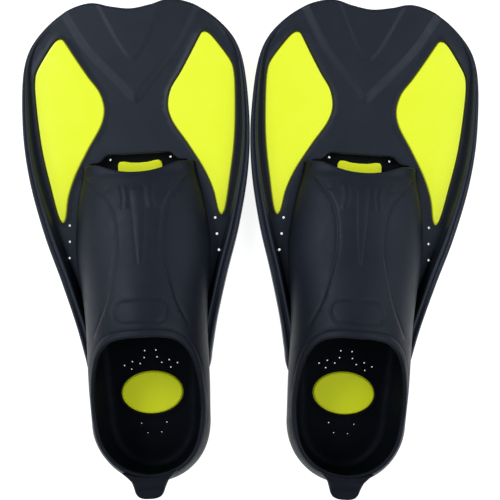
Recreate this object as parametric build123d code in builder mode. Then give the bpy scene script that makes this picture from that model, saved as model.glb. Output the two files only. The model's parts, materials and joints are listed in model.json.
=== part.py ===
from build123d import *
import os

os.makedirs("parts", exist_ok=True)

# A pair of full-foot swim fins lying sole down. Lengths are in millimetres and angles in degrees.
# Both fins have one shape, drawn in the fin's own frame: Y = 0 at the end of the heel tab, +Y to the
# blade tip, X across the foot, Z = 0 on the floor. Each fin is then placed beside the other.

# Longer than the whole fin: how far cutting shapes reach
FAR = 450.0

# Placing of the pair: where each fin's pivot point lies, and how far its tip leans
PIVOT_Y = 204.0
FIN_SPACING = {"left": -92.03, "right": 89.95}
FIN_SHIFT_Y = {"left": -5.14, "right": -6.04}
FIN_LEAN = {"left": 3.2, "right": -4.1}

# Blade
FLEX_Y = 292.0
FLEX_Z = 14.0
RAIL_WIDTH = 9.5
RAIL_END_Y = 396.0
WEB_THICKNESS = 4.0
WINDOW_THICKNESS = 3.0
V_HEIGHT = 3.0
V_BEVEL = 0.6
V_TIP_MARGIN = 3.0
RAIL_HALF_HEIGHT = 12.0
FLEX_GAP = 0.32
KNUCKLE_ROOM = 1.2
BLADE_BACK_Y = 112.0
BLADE_TIP = [(0, 411), (17, 413.5), (35, 417.5), (60.6, 409), (82.6, 389), (93.0, 368)]
BLADE_SIDE = [(97.4, 314), (94.0, 269), (83.2, 219), (70.9, 179), (59.8, 139), (54.0, BLADE_BACK_Y)]
RAIL_TOP = [(100, 30), (230, 28), (FLEX_Y, 26), (350, 22), (417, 17)]
RAIL_FOOT = [(417, 11), (350, 6), (FLEX_Y, 2), (240, 0), (100, 0)]

# Window opening in the web: outer side, tail, inner side, from the tip round
WINDOW_TIP = (62.8, 388)
WINDOW_OUTER = [(77, 376), (85.5, 358), (86.3, 335), (83.5, 295), (78.0, 263), (70.5, 231)]
WINDOW_TAIL_MIDDLE = (69, 229.6)
WINDOW_TAIL = (67.5, 231)
WINDOW_INNER = [(62.5, 252), (56, 269), (43.5, 293), (29.0, 316), (27.5, 326), (38, 352), (56, 383)]
WINDOW_TIP_MIDDLE = (59.6, 388)

# Raised V on the web: the edge of one arm, from its point to beyond the tip
V_SIDE = [(0, 330), (13, 342), (42, 376), (60, 404), (66, 430)]

# Foot pocket: station along the fin, half-width at the sole, greatest half-width, its height, and the
# height of the top
POCKET = [
    (9, 9, 13, 40, 52),
    (16, 20, 28, 40, 64),
    (28, 29, 39.5, 40, 76),
    (50, 36, 48, 40, 86),
    (90, 38, 50.5, 39, 90),
    (135, 41, 51, 34, 84),
    (170, 46, 54, 26, 73),
    (206, 53, 58, 19, 60),
    (245, 50, 54, 17, 49),
    (279, 44, 48, 15, 39),
]
WALL = 3.2
TOE_REACH = 8.0
SOLE_THICKNESS = 5.0
PLATE_TOP = 9.0
FOOTBED_TOP = 12.0
UPPER_TOP = 100.0
VAMP_START_Y = 112.0
LIP_Y = 272.0
LIP_SIDE_Y = 279.0

# Foot opening, seen from above: half of its edge from the heel to the instep
OPENING = [(0, 18), (23.6, 24.5), (37.8, 40), (44.6, 66), (44.0, 92), (33, 124), (14, 134.7), (0, 135.2)]
CUFF_WIDTH = 6.0
CUFF_PROUD = 1.2
CUFF_LOWEST = 42.0
CUFF_SIDE = [(-FAR, 52), (90, 52), (142, 72), (FAR, 72)]

# Badge on the instep, slot in front of the toes
BADGE_Y = 154.0
BADGE_LENGTH = 44.0
BADGE_WIDTH = 19.0
BADGE_PROUD = 1.0
SLOT_FRONT_Y = 287.0
SLOT_BAR = 1.6
SLOT_HALF_WIDTH = 27.0
SLOT_SHOULDER = 35.0
SLOT_SPREAD = 44.0
SLOT_SPREAD_Y = 281.0
TONGUE_HALF_WIDTH = 19.0
TONGUE_BACK_Y = 262.0
TONGUE_FRONT_Y = 280.0
TONGUE_TOP = 11.5
SLOT_DRAIN = (26.4, 283.0)
WEB_DRAINS = [(63, 227), (63.7, 213), (64.7, 199)]
DRAIN_RADIUS = 1.1

# Oval boss of the sole plate and the drain holes round it
OVAL_Y = 78.6
OVAL_HALF_WIDTH = 26.4
OVAL_HALF_LENGTH = 18.2
OVAL_TOP = 12.6
PIN_HOLES = [(4.9, 115), (5.6, 109), (9.4, 104), (16, 106), (17, 99.5), (23, 103), (11, 52), (6, 43.5)]
PIN_HOLE_RADIUS = 1.2
PIN_HOLE_FOOT_RADIUS = 2.4

# Heel tab
TAB_HINGE_Y = 11.5
TAB_HINGE_Z = 63.0
TAB_THICKNESS = 5.0
TAB_HALF_WIDTH = 14.0
TAB_ROUNDING = 6.0
TAB_ROOT_LENGTH = 12.0
TAB_GAP = 0.4
TAB_ROOM_HALF_WIDTH = 16.5
TAB_ROOM_LOW = 57.5

# Sole treads: grooves across the sole
GROOVE_DEPTH = 1.8
GROOVE_WIDTH = 2.2
GROOVE_PITCH = 8.0
GROOVE_LENGTH = 58.0
SOLE_END_Y = 289.6
FOREFOOT_GROOVES = (200, 9)
HEEL_GROOVES = (52, 6)

BESIDE_STEPS = 28


def both_sides(points):
    """Points from the tip down the +X side, and their mirror images, in order round the tip."""
    return [(-x, y) for x, y in reversed(points[1:])] + points


def slab(low, high):
    """A wide block between two heights."""
    with BuildPart() as block:
        with BuildSketch(Plane.XY.offset(low)):
            with Locations((0, FAR / 2)):
                Rectangle(FAR, 2 * FAR)
        extrude(amount=high - low)
    return block.part


def beside(edge, distance):
    """A smooth curve that runs beside an edge, to its left, at a distance; a loop gives a loop."""
    count = BESIDE_STEPS if edge.is_closed else BESIDE_STEPS + 1
    steps = [step / BESIDE_STEPS for step in range(count)]
    points = [edge @ step + (edge % step).rotate(Axis.Z, 90) * distance for step in steps]
    return Spline(*points, periodic=edge.is_closed)


def closed_plan(edge):
    """The face inside a loop, or between an edge and the straight line that joins its ends."""
    with BuildSketch() as plan:
        with BuildLine():
            add(edge)
            if not edge.is_closed:
                Line(edge @ 0, edge @ 1)
        make_face()
    return plan.sketch


def window_outline():
    """Plan of the window on the +X side."""
    with BuildSketch() as plan:
        with BuildLine():
            outer = Spline(WINDOW_TIP, *WINDOW_OUTER)
            tail = ThreePointArc(outer @ 1, WINDOW_TAIL_MIDDLE, WINDOW_TAIL)
            inner = Spline(tail @ 1, *WINDOW_INNER)
            ThreePointArc(inner @ 1, WINDOW_TIP_MIDDLE, WINDOW_TIP)
        make_face()
    return plan.sketch


def pocket_solid(inset, back=0.0, front=0.0):
    """The foot pocket as one closed form, drawn in by an inset; back and front move its two ends."""
    ends = {0: back, len(POCKET) - 1: front}
    with BuildPart() as form:
        for index, (y, sole, wide, wide_z, top) in enumerate(POCKET):
            with BuildSketch(Plane.XZ.offset(-y - ends.get(index, 0))):
                with BuildLine():
                    arch = EllipticalCenterArc((0, wide_z), wide - inset, top - inset - wide_z, arc_size=180)
                    Polyline(arch @ 1, (inset - sole, SOLE_THICKNESS), (sole - inset, SOLE_THICKNESS), arch @ 0)
                make_face()
        loft()
    return form.part


def flex_side(ahead, half_height, gap):
    """The space of the blade's side of the flex line, with a round knuckle, or of the foot's side."""
    with BuildPart() as space:
        with BuildSketch(Plane.YZ.offset(-FAR / 2)):
            with Locations((FLEX_Y + FAR / 2 if ahead else FLEX_Y - FAR / 2, FLEX_Z)):
                Rectangle(FAR, FAR)
            with Locations((FLEX_Y, FLEX_Z)):
                Circle(half_height + gap, mode=Mode.ADD if ahead else Mode.SUBTRACT)
        extrude(amount=FAR)
    return space.part


def write(piece, names):
    """Place one piece on each fin that names gives it a name for, and write the files."""
    for side, name in names.items():
        place = Pos(FIN_SPACING[side], FIN_SHIFT_Y[side]) * Rot(0, 0, FIN_LEAN[side]) * Pos(0, -PIVOT_Y)
        with BuildPart() as placed:
            with Locations(place):
                add(piece)
        placed.part.label = f"{side}_{name}"
        export_step(placed.part, f"parts/{placed.part.label}.step")


def write_pair(piece, name):
    """Write a piece that lies on the fin's +X side, and its mirror image on the other side."""
    with BuildPart() as other:
        add(piece)
        mirror(about=Plane.YZ, mode=Mode.REPLACE)
    write(piece, {"left": f"inner_{name}", "right": f"outer_{name}"})
    write(other.part, {"left": f"outer_{name}", "right": f"inner_{name}"})


# Closed forms that several pieces are cut from
pocket_outside = pocket_solid(0)
pocket_inside = pocket_solid(WALL, back=WALL, front=TOE_REACH)

with BuildPart() as sole_block:
    with BuildSketch():
        with BuildLine():
            heel_end = (0, POCKET[0][0])
            widths = [(sole, y) for y, sole, _, _, _ in POCKET[1:]]
            side = Spline(heel_end, *widths, tangents=[(1, 0), (0, 1)])
            Polyline(side @ 1, (SLOT_SPREAD, SOLE_END_Y), (0, SOLE_END_Y))
            mirror(about=Plane.YZ)
        make_face()
    extrude(amount=SOLE_THICKNESS)

opening_edge = Spline(*OPENING, *[(-x, y) for x, y in reversed(OPENING[1:-1])], periodic=True)
opening_plan = closed_plan(opening_edge)
with BuildPart() as opening:
    with BuildSketch(Plane.XY.offset(CUFF_LOWEST)):
        add(opening_plan)
    extrude(amount=UPPER_TOP - CUFF_LOWEST)

with BuildPart() as cuff_band:
    with BuildSketch(Plane.XY.offset(CUFF_LOWEST)):
        add(closed_plan(beside(opening_edge, -CUFF_WIDTH)))
        add(opening_plan, mode=Mode.SUBTRACT)
    extrude(amount=UPPER_TOP - CUFF_LOWEST)
    with BuildSketch(Plane.YZ.offset(-FAR / 2)):
        with BuildLine():
            Polyline(*CUFF_SIDE, (FAR, UPPER_TOP), (-FAR, UPPER_TOP), close=True)
        make_face()
    extrude(amount=FAR, mode=Mode.INTERSECT)

with BuildPart() as tab_room:
    with BuildSketch(Plane.YZ.offset(-TAB_ROOM_HALF_WIDTH)):
        with Locations((TAB_HINGE_Y, TAB_HINGE_Z)):
            Circle(TAB_THICKNESS / 2 + TAB_GAP)
        with Locations((TAB_HINGE_Y, TAB_ROOM_LOW)):
            Rectangle(4 * TAB_HINGE_Y, UPPER_TOP, align=(Align.MAX, Align.MIN))
    extrude(amount=2 * TAB_ROOM_HALF_WIDTH)

# In front of the toes: the lip of the vamp is cut back in an arc, and the slot opens ahead of it
with BuildPart() as toe_cut:
    with BuildSketch():
        with BuildLine():
            lip = ThreePointArc((-SLOT_SPREAD, LIP_SIDE_Y), (0, LIP_Y), (SLOT_SPREAD, LIP_SIDE_Y))
            Polyline(lip @ 1, (FAR, LIP_SIDE_Y), (FAR, FAR), (-FAR, FAR), (-FAR, LIP_SIDE_Y), lip @ 0)
        make_face()
    extrude(amount=UPPER_TOP)

with BuildPart() as slot_room:
    with BuildSketch():
        with BuildLine():
            Polyline(
                (-SLOT_SPREAD, LIP_Y - WALL),
                (-SLOT_SPREAD, SLOT_SPREAD_Y),
                (-SLOT_SHOULDER, SLOT_SPREAD_Y),
                (-SLOT_HALF_WIDTH, SLOT_FRONT_Y),
                (SLOT_HALF_WIDTH, SLOT_FRONT_Y),
                (SLOT_SHOULDER, SLOT_SPREAD_Y),
                (SLOT_SPREAD, SLOT_SPREAD_Y),
                (SLOT_SPREAD, LIP_Y - WALL),
                close=True,
            )
        make_face()
    extrude(amount=UPPER_TOP)

# Blade: the thin web, and the rails that stiffen its two sides
blade_edge = Spline(*both_sides(BLADE_TIP + BLADE_SIDE))
web_edge = beside(blade_edge, -RAIL_WIDTH)

with BuildSketch() as tip_plan:
    add(closed_plan(blade_edge))
    with Locations((0, RAIL_END_Y)):
        Rectangle(FAR, FAR, align=(Align.CENTER, Align.MIN), mode=Mode.INTERSECT)

with BuildPart() as web:
    with BuildSketch(Plane.XY.offset(FLEX_Z - WEB_THICKNESS / 2)):
        add(closed_plan(web_edge))
        add(tip_plan.sketch)
        add(window_outline(), mode=Mode.SUBTRACT)
        add(mirror(window_outline(), about=Plane.YZ, mode=Mode.PRIVATE), mode=Mode.SUBTRACT)
        with Locations(*WEB_DRAINS, *[(-x, y) for x, y in WEB_DRAINS]):
            Circle(DRAIN_RADIUS, mode=Mode.SUBTRACT)
    extrude(amount=WEB_THICKNESS)

with BuildPart() as blade_web:
    add(web.part)
    add(flex_side(True, WEB_THICKNESS / 2, 0), mode=Mode.INTERSECT)
write(blade_web.part, {"left": "blade_web", "right": "blade_web"})

with BuildPart() as knuckle_room:
    with BuildSketch():
        add(closed_plan(blade_edge))
        add(closed_plan(beside(blade_edge, -RAIL_WIDTH - KNUCKLE_ROOM)), mode=Mode.SUBTRACT)
        with Locations((0, FLEX_Y - RAIL_HALF_HEIGHT - FLEX_GAP)):
            Rectangle(FAR, FAR, align=(Align.CENTER, Align.MIN), mode=Mode.INTERSECT)
    extrude(amount=UPPER_TOP)

with BuildPart() as web_root:
    add(web.part)
    with BuildSketch(Plane.XY.offset(SOLE_THICKNESS)):
        with Locations((0, SLOT_FRONT_Y)):
            Rectangle(2 * SLOT_SPREAD, SLOT_BAR, align=(Align.CENTER, Align.MIN))
    extrude(amount=FLEX_Z - SOLE_THICKNESS)
    add(flex_side(False, WEB_THICKNESS / 2, FLEX_GAP), mode=Mode.INTERSECT)
    add(pocket_outside, mode=Mode.SUBTRACT)
    add(slot_room.part, mode=Mode.SUBTRACT)
    add(knuckle_room.part, mode=Mode.SUBTRACT)
write(web_root.part, {"left": "web_root", "right": "web_root"})

with BuildPart() as rail:
    with BuildSketch():
        add(closed_plan(blade_edge))
        add(closed_plan(web_edge), mode=Mode.SUBTRACT)
        with Locations((0, RAIL_END_Y)):
            Rectangle(FAR, FAR, align=(Align.MIN, Align.MAX), mode=Mode.INTERSECT)
    extrude(amount=UPPER_TOP)
    with BuildSketch(Plane.YZ):
        with BuildLine():
            Polyline(*RAIL_TOP, *RAIL_FOOT, close=True)
        make_face()
    extrude(amount=FAR, mode=Mode.INTERSECT)
    add(pocket_outside, mode=Mode.SUBTRACT)
    add(sole_block.part, mode=Mode.SUBTRACT)

with BuildPart() as blade_rail:
    add(rail.part)
    add(flex_side(True, RAIL_HALF_HEIGHT, 0), mode=Mode.INTERSECT)
write_pair(blade_rail.part, "rail")

with BuildPart() as rail_root:
    add(rail.part)
    add(flex_side(False, RAIL_HALF_HEIGHT, FLEX_GAP), mode=Mode.INTERSECT)
write_pair(rail_root.part, "rail_root")

# Windows: lime panels that fill the openings in the web
with BuildPart() as window:
    with BuildSketch(Plane.XY.offset(FLEX_Z - WINDOW_THICKNESS / 2)):
        add(window_outline())
    extrude(amount=WINDOW_THICKNESS)

with BuildPart() as blade_window:
    add(window.part)
    add(flex_side(True, WINDOW_THICKNESS / 2, 0), mode=Mode.INTERSECT)
write_pair(blade_window.part, "window")

with BuildPart() as window_root:
    add(window.part)
    add(flex_side(False, WEB_THICKNESS / 2, FLEX_GAP), mode=Mode.INTERSECT)
write_pair(window_root.part, "window_root")

# Raised V: a wedge on the web that widens from a point ahead of the flex line to the tip, with bevelled edges
with BuildPart() as v_panel:
    with BuildSketch(Plane.XY.offset(FLEX_Z + WEB_THICKNESS / 2)):
        with BuildLine():
            Polyline(*V_SIDE, (0, V_SIDE[-1][1]))
            mirror(about=Plane.YZ)
        make_face()
        add(closed_plan(beside(blade_edge, -V_TIP_MARGIN)), mode=Mode.INTERSECT)
    extrude(amount=V_HEIGHT)
    chamfer(v_panel.edges().group_by(Axis.Z)[-1], V_HEIGHT * V_BEVEL)
write(v_panel.part, {"left": "v_panel", "right": "v_panel"})

# Foot pocket: a shell round the foot, open at the cuff and at the toes, split into the heel cup and the vamp
with BuildPart() as shell:
    add(pocket_outside)
    add(pocket_inside, mode=Mode.SUBTRACT)
    add(opening.part, mode=Mode.SUBTRACT)
    add(cuff_band.part, mode=Mode.SUBTRACT)
    add(toe_cut.part, mode=Mode.SUBTRACT)

with BuildPart() as vamp:
    add(shell.part)
    split(bisect_by=Plane.XZ.offset(-VAMP_START_Y), keep=Keep.BOTTOM)
write(vamp.part, {"left": "vamp", "right": "vamp"})

with BuildPart() as tab_root:
    with BuildSketch(Plane.XY.offset(TAB_HINGE_Z - TAB_THICKNESS / 2)):
        with Locations((0, TAB_HINGE_Y)):
            Rectangle(2 * TAB_HALF_WIDTH, TAB_ROOT_LENGTH, align=(Align.CENTER, Align.MIN))
    extrude(amount=TAB_THICKNESS)
    add(pocket_inside, mode=Mode.SUBTRACT)
    add(opening.part, mode=Mode.SUBTRACT)

with BuildPart() as heel_cup:
    add(shell.part)
    split(bisect_by=Plane.XZ.offset(-VAMP_START_Y), keep=Keep.TOP)
    add(tab_room.part, mode=Mode.SUBTRACT)
write(heel_cup.part, {"left": "heel_cup", "right": "heel_cup"})

with BuildPart() as cuff:
    add(pocket_solid(-CUFF_PROUD))
    add(tab_root.part)
    add(cuff_band.part, mode=Mode.INTERSECT)
    add(pocket_inside, mode=Mode.SUBTRACT)
    add(tab_room.part, mode=Mode.SUBTRACT)
write(cuff.part, {"left": "cuff", "right": "cuff"})

# Badge: a blank raised stadium on the instep
with BuildPart() as badge:
    with BuildSketch(Plane.XY.offset(CUFF_LOWEST)):
        with Locations((0, BADGE_Y)):
            SlotOverall(BADGE_LENGTH, BADGE_WIDTH)
    extrude(amount=UPPER_TOP - CUFF_LOWEST)
    add(pocket_solid(-BADGE_PROUD), mode=Mode.INTERSECT)
    add(pocket_outside, mode=Mode.SUBTRACT)
write(badge.part, {"left": "badge", "right": "badge"})

# Sole: the tread, the lime plate with its boss and tongue, and the footbed, drained by small holes that
# widen towards the ground
with BuildPart() as drains:
    with Locations(*PIN_HOLES, *[(-x, y) for x, y in PIN_HOLES]):
        Cone(
            PIN_HOLE_FOOT_RADIUS,
            PIN_HOLE_RADIUS,
            FOOTBED_TOP,
            align=(Align.CENTER, Align.CENTER, Align.MIN),
        )
    with Locations(SLOT_DRAIN, (-SLOT_DRAIN[0], SLOT_DRAIN[1])):
        Cylinder(DRAIN_RADIUS, FOOTBED_TOP, align=(Align.CENTER, Align.CENTER, Align.MIN))

with BuildPart() as boss:
    with BuildSketch(Plane.XY.offset(SOLE_THICKNESS)):
        with Locations((0, OVAL_Y)):
            Ellipse(OVAL_HALF_WIDTH, OVAL_HALF_LENGTH)
    extrude(amount=OVAL_TOP - SOLE_THICKNESS)

with BuildPart() as sole_plate:
    add(pocket_inside)
    add(slab(SOLE_THICKNESS, PLATE_TOP), mode=Mode.INTERSECT)
    add(toe_cut.part, mode=Mode.SUBTRACT)
    add(boss.part)
    with BuildSketch(Plane.XY.offset(SOLE_THICKNESS)):
        with Locations((0, TONGUE_BACK_Y)):
            Rectangle(2 * TONGUE_HALF_WIDTH, TONGUE_FRONT_Y - TONGUE_BACK_Y, align=(Align.CENTER, Align.MIN))
    extrude(amount=TONGUE_TOP - SOLE_THICKNESS)
    add(drains.part, mode=Mode.SUBTRACT)
write(sole_plate.part, {"left": "sole_plate", "right": "sole_plate"})

with BuildPart() as footbed:
    add(pocket_inside)
    add(slab(PLATE_TOP, FOOTBED_TOP), mode=Mode.INTERSECT)
    split(bisect_by=Plane.XZ.offset(-TONGUE_BACK_Y), keep=Keep.TOP)
    add(boss.part, mode=Mode.SUBTRACT)
    add(drains.part, mode=Mode.SUBTRACT)
write(footbed.part, {"left": "footbed", "right": "footbed"})

with BuildPart() as outsole:
    add(sole_block.part)
    with BuildSketch():
        for first, count in (FOREFOOT_GROOVES, HEEL_GROOVES):
            for number in range(count):
                with Locations((0, first + number * GROOVE_PITCH)):
                    Rectangle(GROOVE_LENGTH, GROOVE_WIDTH)
    extrude(amount=GROOVE_DEPTH, mode=Mode.SUBTRACT)
    add(drains.part, mode=Mode.SUBTRACT)
write(outsole.part, {"left": "outsole", "right": "outsole"})

# Heel tab: a rounded pull behind the heel, on its own flex line
with BuildPart() as heel_tab:
    with BuildSketch(Plane.XY.offset(TAB_HINGE_Z - TAB_THICKNESS / 2)):
        Rectangle(2 * TAB_HALF_WIDTH, TAB_HINGE_Y, align=(Align.CENTER, Align.MIN))
        fillet(vertices().group_by(Axis.Y)[0], TAB_ROUNDING)
    extrude(amount=TAB_THICKNESS)
    with BuildSketch(Plane.YZ.offset(-TAB_HALF_WIDTH)):
        with Locations((TAB_HINGE_Y, TAB_HINGE_Z)):
            Circle(TAB_THICKNESS / 2)
    extrude(amount=2 * TAB_HALF_WIDTH)
write(heel_tab.part, {"left": "heel_tab", "right": "heel_tab"})
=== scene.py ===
import json
import math

import bmesh
import bpy
import numpy as np
from mathutils import Matrix, Vector, kdtree
from mathutils.geometry import delaunay_2d_cdt


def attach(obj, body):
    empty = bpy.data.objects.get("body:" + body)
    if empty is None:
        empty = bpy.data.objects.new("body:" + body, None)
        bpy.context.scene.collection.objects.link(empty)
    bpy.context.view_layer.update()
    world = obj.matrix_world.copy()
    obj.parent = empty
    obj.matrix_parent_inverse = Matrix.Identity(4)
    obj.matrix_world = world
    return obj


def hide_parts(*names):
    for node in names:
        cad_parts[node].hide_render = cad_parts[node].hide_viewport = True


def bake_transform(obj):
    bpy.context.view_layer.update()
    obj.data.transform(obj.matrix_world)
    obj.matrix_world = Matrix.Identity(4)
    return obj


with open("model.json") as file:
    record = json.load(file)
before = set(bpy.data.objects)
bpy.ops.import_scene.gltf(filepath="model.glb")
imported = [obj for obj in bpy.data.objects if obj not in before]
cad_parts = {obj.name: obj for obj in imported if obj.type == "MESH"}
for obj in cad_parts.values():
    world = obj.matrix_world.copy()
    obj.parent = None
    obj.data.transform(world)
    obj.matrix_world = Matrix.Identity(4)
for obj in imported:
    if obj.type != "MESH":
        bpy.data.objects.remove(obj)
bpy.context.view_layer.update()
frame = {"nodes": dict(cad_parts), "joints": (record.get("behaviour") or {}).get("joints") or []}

# A pair of full-foot swim fins. Shapes are drawn in millimetres in one fin's own frame: Y = 0 at the end of
# the heel tab, +Y to the blade tip, X across the foot, Z = 0 on the floor. Each fin is the same on both sides
# of its axis, so most shapes are drawn for X >= 0 and mirrored.
MM = 0.001
SIDES = ("left", "right")
ON_SEAM = 1e-6      # a point this near to a mirror seam lies on it
SEAM_REACH = 1.2    # a crease that stops this near to a seam is carried on to it
PAST_AXIS = -5.0    # X of a place well past the fin's axis
KEEP_CLEAR = 0.62   # how near to a line a point between lines may stand, as a share of the spacing

# ------------------------------------------------------------------------------------------------------------
# Driving sizes. They follow the CAD model's, with small corrections to the outlines.
# ------------------------------------------------------------------------------------------------------------
FLEX_Y = 292.0
FLEX_Z = 14.0
WEB_TOP = 16.0
WEB_FOOT = 12.0
BLADE_EDGE = [(0, 411), (17, 413.5), (35, 417.5), (60.6, 409), (82.6, 389), (93.0, 368), (97.4, 314),
              (94.0, 269), (83.2, 219), (70.9, 179), (59.8, 139), (54.0, 112)]
WINDOW = [(62.8, 388.4), (66.5, 386.6), (77, 373), (84.9, 359.5), (86.4, 351), (86.4, 335), (83.5, 295),
          (78.0, 263), (70.9, 232), (68.6, 229.6), (66.6, 232), (62.5, 252), (56, 269), (43.5, 291.5),
          (30.2, 313.5), (27.4, 326), (30.5, 340), (40, 354.5), (50, 371), (58.4, 385.4), (60, 387.6)]
V_OUTER = [(0, 329), (13, 342), (42, 376), (59, 405), (67, 420)]
V_INNER = [(0, 365.5), (3, 366.5), (7, 370.5), (13.5, 381), (27, 409), (33, 422)]
WEB_DRAINS = [(63, 227), (63.7, 213), (64.7, 199)]
DRAIN_RADIUS = 1.1
POCKET = [
    # y, half-width at the sole, greatest half-width, its height, height of the top
    (53, 36.3, 49.3, 40, 86.5),
    (90, 38, 50.5, 39, 90),
    (135, 41, 51, 34, 84),
    (170, 46, 54, 26, 73),
    (206, 53, 58, 19, 60),
    (245, 50, 54, 17, 49),
    (279, 44, 48, 15, 39),
]


# ------------------------------------------------------------------------------------------------------------
# Curves and distances
# ------------------------------------------------------------------------------------------------------------
def resample(points, step):
    """The same polyline with points at nearly even steps."""
    points = np.array(points, float)
    run = np.r_[0, np.cumsum(np.linalg.norm(np.diff(points, axis=0), axis=1))]
    count = max(2, int(round(run[-1] / step)) + 1)
    at = np.linspace(0, run[-1], count)
    return np.column_stack([np.interp(at, run, points[:, axis]) for axis in range(points.shape[1])])


def smooth(points, step=1.5, closed=False):
    """Evenly spaced points on a smooth curve through the given ones."""
    points = np.array(points, float)
    if closed:
        ext = np.vstack([points[-1], points, points[:2]])
    else:
        ext = np.vstack([2 * points[0] - points[1], points, 2 * points[-1] - points[-2]])
    out = []
    for a, b, c, d in zip(ext[:-3], ext[1:-2], ext[2:-1], ext[3:]):
        t1 = max(np.linalg.norm(b - a), 1e-9) ** 0.5
        t2 = t1 + max(np.linalg.norm(c - b), 1e-9) ** 0.5
        t3 = t2 + max(np.linalg.norm(d - c), 1e-9) ** 0.5
        t = np.linspace(t1, t2, 24, endpoint=False)[:, None]
        ab = a + (b - a) * t / t1
        bc = b + (c - b) * (t - t1) / (t2 - t1)
        cd = c + (d - c) * (t - t2) / (t3 - t2)
        abc = ab + (bc - ab) * t / t2
        bcd = bc + (cd - bc) * (t - t1) / (t3 - t1)
        out.append(abc + (bcd - abc) * (t - t1) / (t2 - t1))
    out = np.vstack(out + [ext[-2:-1]])
    return resample(out, step)


def half_of(points, step=1.5):
    """The X >= 0 half of a curve that is given by its points there and meets the fin's axis squarely."""
    points = np.array(points, float)
    flip = [-1.0, 1.0]
    lead = points[1:3][::-1] * flip if points[0][0] == 0 else points[:0]
    trail = points[-3:-1][::-1] * flip if points[-1][0] == 0 else points[:0]
    curve = smooth(np.vstack([lead, points, trail]), 0.25)
    curve = curve[curve[:, 0] > 0.05]
    starts = [points[0]] if len(lead) else []
    ends = [points[-1]] if len(trail) else []
    return resample(np.vstack(starts + [curve] + ends), step)


def distance(points, line):
    """Distance from each point to a polyline."""
    return distance_to_edges(points, line[:-1], line[1:])


def distance_to_edges(points, a, b):
    """Distance from each point to the nearest of some edges, given by their two ends."""
    ab = b - a
    length = np.maximum((ab ** 2).sum(1), 1e-12)
    out = np.empty(len(points))
    for start in range(0, len(points), 2000):
        p = points[start:start + 2000, None, :]
        t = np.clip(((p - a) * ab).sum(2) / length, 0, 1)[..., None]
        out[start:start + 2000] = np.sqrt((((a + t * ab) - p) ** 2).sum(2)).min(1)
    return out


def inside(points, loop):
    """Whether each point lies inside a closed loop."""
    x, y = points[:, 0], points[:, 1]
    result = np.zeros(len(points), bool)
    for (x1, y1), (x2, y2) in zip(loop, np.roll(loop, -1, axis=0)):
        if y1 != y2:
            hit = ((y1 > y) != (y2 > y)) & (x < (x2 - x1) * (y - y1) / (y2 - y1) + x1)
            result ^= hit
    return result


def runs(points, good):
    """The stretches of a polyline whose points are all good."""
    out, current = [], []
    for point, ok in zip(points, good):
        if ok:
            current.append(point)
        elif current:
            out.append(np.array(current))
            current = []
    if current:
        out.append(np.array(current))
    return [run for run in out if len(run) > 1]


def ramp(value, low, high):
    """0 below low, 1 above high, smooth between."""
    t = np.clip((value - low) / (high - low), 0, 1)
    return t * t * (3 - 2 * t)


def ramp_line(value, width, soft=0.35):
    """0 at 0 and 1 at width, straight between, with softened corners."""
    share = np.clip(value / width, 0, 1)
    ease = soft / width
    start = share ** 2 / (2 * ease)
    end = 1 - ease - (1 - share) ** 2 / (2 * ease)
    rise = np.where(share < ease, start, np.where(share > 1 - ease, end, share - ease / 2))
    return rise / (1 - ease)


def fading(away, width, power=1):
    """1 on an edge, falling to 0 at a width away from it."""
    return (1 - np.clip(away / width, 0, 1)) ** power


def quarter_round(away, radius):
    """0 on an edge, rising as a quarter circle to 1 at a radius away from it."""
    return np.sqrt(1 - fading(away, radius, 2))


def bell(away, width):
    """1 on a line, falling off like a bell to both sides."""
    return np.exp(-(away / width) ** 2)


def graph(table, at):
    """A smooth curve through (place, value) pairs, flat beyond its ends, read at some places."""
    xs = np.array([row[0] for row in table], float)
    ys = np.array([row[1] for row in table], float)
    gap = np.diff(xs)
    slope = np.diff(ys) / gap
    tangent = np.zeros(len(xs))
    same = slope[:-1] * slope[1:] > 0
    weight = (gap[:-1] + gap[1:]) / 2
    mean = (slope[:-1] * gap[1:] + slope[1:] * gap[:-1]) / (2 * weight)
    limit = 3 * np.minimum(abs(slope[:-1]), abs(slope[1:]))
    tangent[1:-1] = np.where(same, np.sign(mean) * np.minimum(abs(mean), limit), 0)
    at = np.clip(at, xs[0], xs[-1])
    i = np.clip(np.searchsorted(xs, at) - 1, 0, len(xs) - 2)
    t = (at - xs[i]) / gap[i]
    return ((1 + 2 * t) * (1 - t) ** 2 * ys[i] + t * (1 - t) ** 2 * gap[i] * tangent[i]
            + t * t * (3 - 2 * t) * ys[i + 1] + t * t * (t - 1) * gap[i] * tangent[i + 1])


def closed_across(line):
    """A half outline closed past the fin's axis, to ask what lies inside it."""
    return np.vstack([line, (PAST_AXIS, line[-1][1]), (PAST_AXIS, line[0][1])])


def circle(x, y, radius, count=14):
    """Points round a circle."""
    turns = [k * (2 * math.pi / count) for k in range(count)]
    return np.array([(x + radius * math.cos(turn), y + radius * math.sin(turn)) for turn in turns])


def outward(loop, amount):
    """A closed loop moved outwards by an amount."""
    tangent = np.roll(loop, -1, axis=0) - np.roll(loop, 1, axis=0)
    tangent /= np.linalg.norm(tangent, axis=1)[:, None]
    normal = np.column_stack([tangent[:, 1], -tangent[:, 0]])
    if inside(loop[:1] + normal[:1] * 0.05, loop)[0]:
        normal = -normal
    return loop + normal * amount


def moved_line(line, amounts):
    """A polyline moved to its left by an amount at each point, and which of its points stay clear of it."""
    tangent = np.gradient(line, axis=0)
    tangent /= np.maximum(np.linalg.norm(tangent, axis=1), 1e-9)[:, None]
    moved = line + np.column_stack([-tangent[:, 1], tangent[:, 0]]) * np.asarray(amounts)[:, None]
    return moved, distance(moved, line) > np.abs(amounts) * 0.97


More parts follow.
